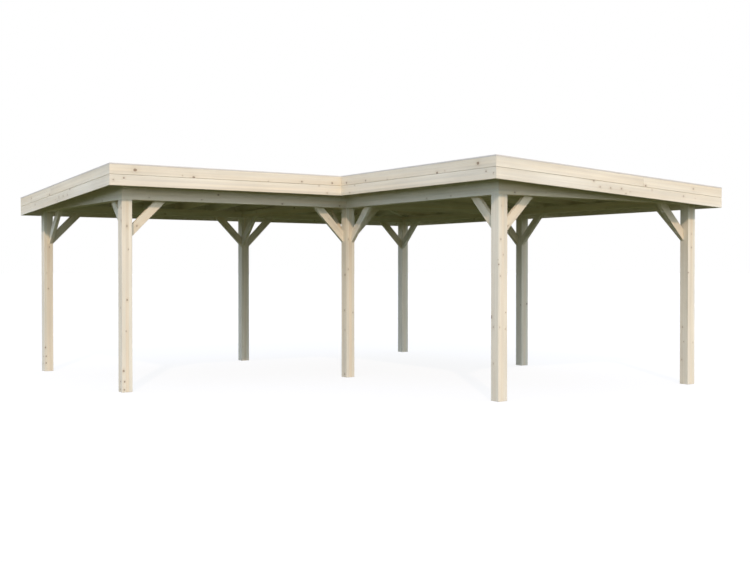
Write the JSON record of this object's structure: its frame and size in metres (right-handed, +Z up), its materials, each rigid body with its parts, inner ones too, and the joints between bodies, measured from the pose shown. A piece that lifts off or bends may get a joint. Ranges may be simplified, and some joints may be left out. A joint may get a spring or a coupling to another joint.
{
  "type": "L-shaped garden gazebo",
  "caption": "Open L-shaped timber garden gazebo: square posts, beams and knee braces carry a nearly flat hipped roof with a two-board fascia and a metal edge trim.",
  "frame": {"origin": "Centre of the plan's bounding square on the ground, which is under the middle of the post at the notch.", "axes": "Z up; the left wing runs towards -Y and the right wing towards +X; the notch between them opens towards +X and -Y; the back edges face -X and +Y."},
  "size_m": [6.434, 6.434, 2.5218],
  "materials": {
    "post_timber": "planed, untreated laminated spruce",
    "beam_timber": "planed, untreated laminated spruce",
    "brace_timber": "planed, untreated spruce",
    "rafter_timber": "planed, untreated spruce",
    "roof_boards": "planed tongue and groove boards, untreated spruce",
    "fascia_timber": "planed, untreated spruce",
    "roof_felt": "matt bituminous roofing felt",
    "edge_trim": "plain folded metal, satin"
  },
  "bodies": {
    "root": {"post_left_outer": "post_timber", "post_left_inner": "post_timber", "post_left_middle": "post_timber", "post_notch": "post_timber", "post_back_corner": "post_timber", "post_right_middle": "post_timber", "post_right_inner": "post_timber", "post_right_outer": "post_timber", "beam_left_end": "beam_timber", "beam_left_notch": "beam_timber", "beam_left_back": "beam_timber", "beam_right_end": "beam_timber", "beam_right_notch": "beam_timber", "beam_right_back": "beam_timber", "cross_beam_left": "beam_timber", "cross_beam_right": "beam_timber", "braces_left_outer": "brace_timber", "braces_left_inner": "brace_timber", "braces_left_middle": "brace_timber", "braces_notch": "brace_timber", "braces_back_corner": "brace_timber", "braces_right_middle": "brace_timber", "braces_right_inner": "brace_timber", "braces_right_outer": "brace_timber", "rafters_left": "rafter_timber", "jack_rafters_left": "rafter_timber", "rafters_right": "rafter_timber", "jack_rafters_right": "rafter_timber", "hip_rafter": "rafter_timber", "deck_left": "roof_boards", "deck_right": "roof_boards", "fascia_left_end_upper": "fascia_timber", "fascia_left_end_lower": "fascia_timber", "fascia_left_notch_upper": "fascia_timber", "fascia_left_notch_lower": "fascia_timber", "fascia_left_back_upper": "fascia_timber", "fascia_left_back_lower": "fascia_timber", "fascia_right_end_upper": "fascia_timber", "fascia_right_end_lower": "fascia_timber", "fascia_right_notch_upper": "fascia_timber", "fascia_right_notch_lower": "fascia_timber", "fascia_right_back_upper": "fascia_timber", "fascia_right_back_lower": "fascia_timber", "roof_felt": "roof_felt", "edge_trim": "edge_trim"}
  },
  "joints": []
}
